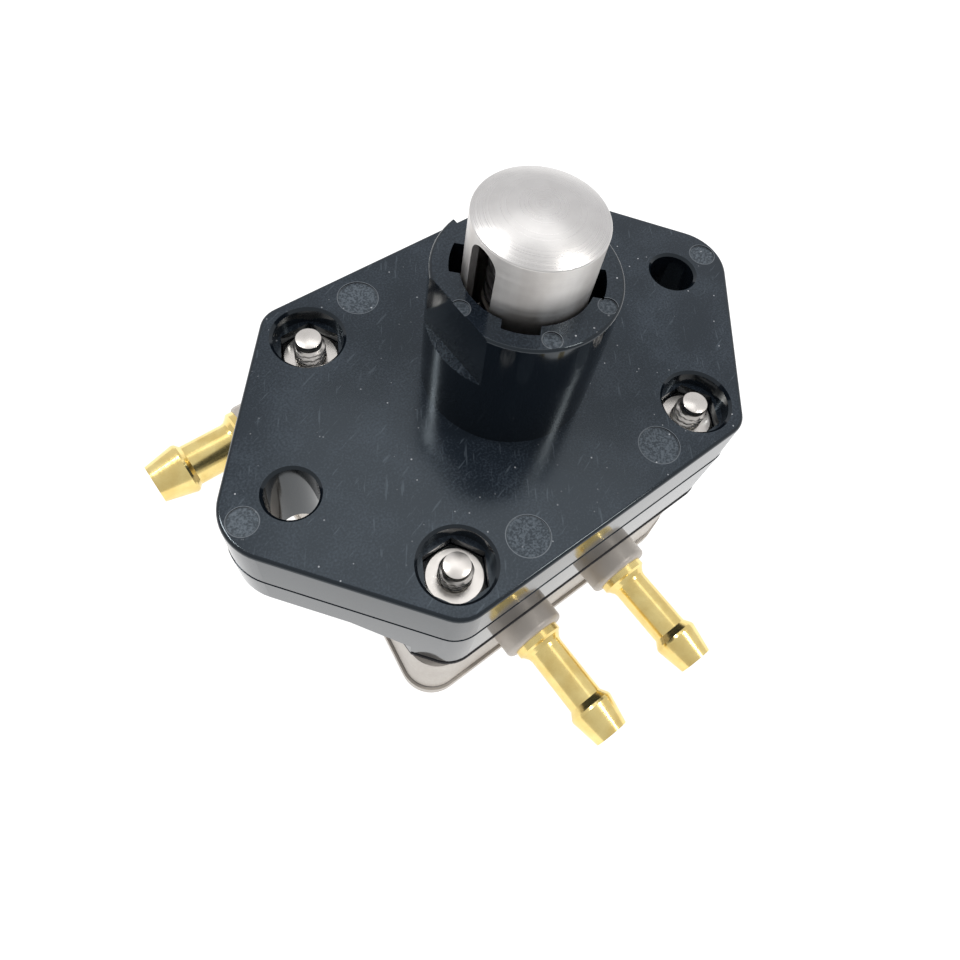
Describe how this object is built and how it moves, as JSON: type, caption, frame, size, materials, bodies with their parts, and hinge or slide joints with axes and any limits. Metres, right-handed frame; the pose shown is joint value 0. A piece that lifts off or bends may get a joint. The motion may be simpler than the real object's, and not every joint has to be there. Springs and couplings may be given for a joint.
{
  "type": "diaphragm fuel pump",
  "caption": "Cam-driven diaphragm fuel pump: plunger tower on a two-ear moulded mounting base, cast valve body below it, brass hose nipples.",
  "frame": {"origin": "where the plunger axis meets the mounting face, midway between the two mounting holes", "axes": "+Z along the plunger, out of the mounting face; +X through the two mounting holes; the outlet nipples point to -Y and the inlet nipple to -X"},
  "size_m": [0.1168, 0.0993, 0.0902],
  "materials": {
    "black_plastic": "satin top face, glossy moulded sides",
    "stainless": "brushed",
    "plated_steel": "bright zinc plate",
    "spring_steel": "drawn wire",
    "brass": "machined",
    "bronze": "sintered",
    "cast_metal": "fine blasted casting",
    "rubber": "matte",
    "fabric_rubber": "fabric reinforced sheet",
    "valve_polymer": "moulded"
  },
  "bodies": {
    "housing": {"mounting_base": "black_plastic", "spring_seat": "plated_steel", "plunger_spring": "spring_steel", "rod_bush": "bronze", "rod_seal": "rubber", "diaphragm": "fabric_rubber", "valve_body": "cast_metal", "inlet_valve_spring": "spring_steel", "inlet_valve_cage": "brass", "outlet_valve_spring": "spring_steel", "outlet_valve_cage": "brass", "cover_gasket": "rubber", "bottom_cover": "cast_metal", "hex_nuts": "plated_steel", "body_screws": "plated_steel", "outlet_nipple_left": "brass", "outlet_nipple_right": "brass", "inlet_nipple": "brass"},
    "plunger": {"plunger": "stainless", "diaphragm_spring": "spring_steel"},
    "diaphragm_rod": {"diaphragm_rod": "plated_steel", "cross_pin": "plated_steel", "upper_diaphragm_plate": "plated_steel", "lower_diaphragm_plate": "plated_steel", "rod_nut": "plated_steel"},
    "inlet_valve": {"inlet_valve_disc": "rubber"},
    "outlet_valve": {"outlet_valve_disc": "rubber"}
  },
  "joints": [
    {"name": "plunger_stroke", "type": "slide", "parent": "housing", "child": "plunger", "axis": [0, 0, -1], "range_m": [0, 0.006], "stiffness_N_per_m": 1200, "springref_m": -0.008, "deforming": ["plunger_spring"]},
    {"name": "rod_stroke", "type": "slide", "parent": "housing", "child": "diaphragm_rod", "axis": [0, 0, -1], "range_m": [0, 0.006], "deforming": ["diaphragm"]},
    {"name": "inlet_valve_lift", "type": "slide", "parent": "housing", "child": "inlet_valve", "axis": [0, 0, 1], "range_m": [0, 0.001], "stiffness_N_per_m": 40, "springref_m": -0.001, "deforming": ["inlet_valve_spring"]},
    {"name": "outlet_valve_lift", "type": "slide", "parent": "housing", "child": "outlet_valve", "axis": [0, 0, -1], "range_m": [0, 0.001], "stiffness_N_per_m": 40, "springref_m": -0.001, "deforming": ["outlet_valve_spring"]}
  ],
  "couplings": [
    {"joint": "rod_stroke", "follows": "plunger_stroke", "ratio": 1}
  ]
}
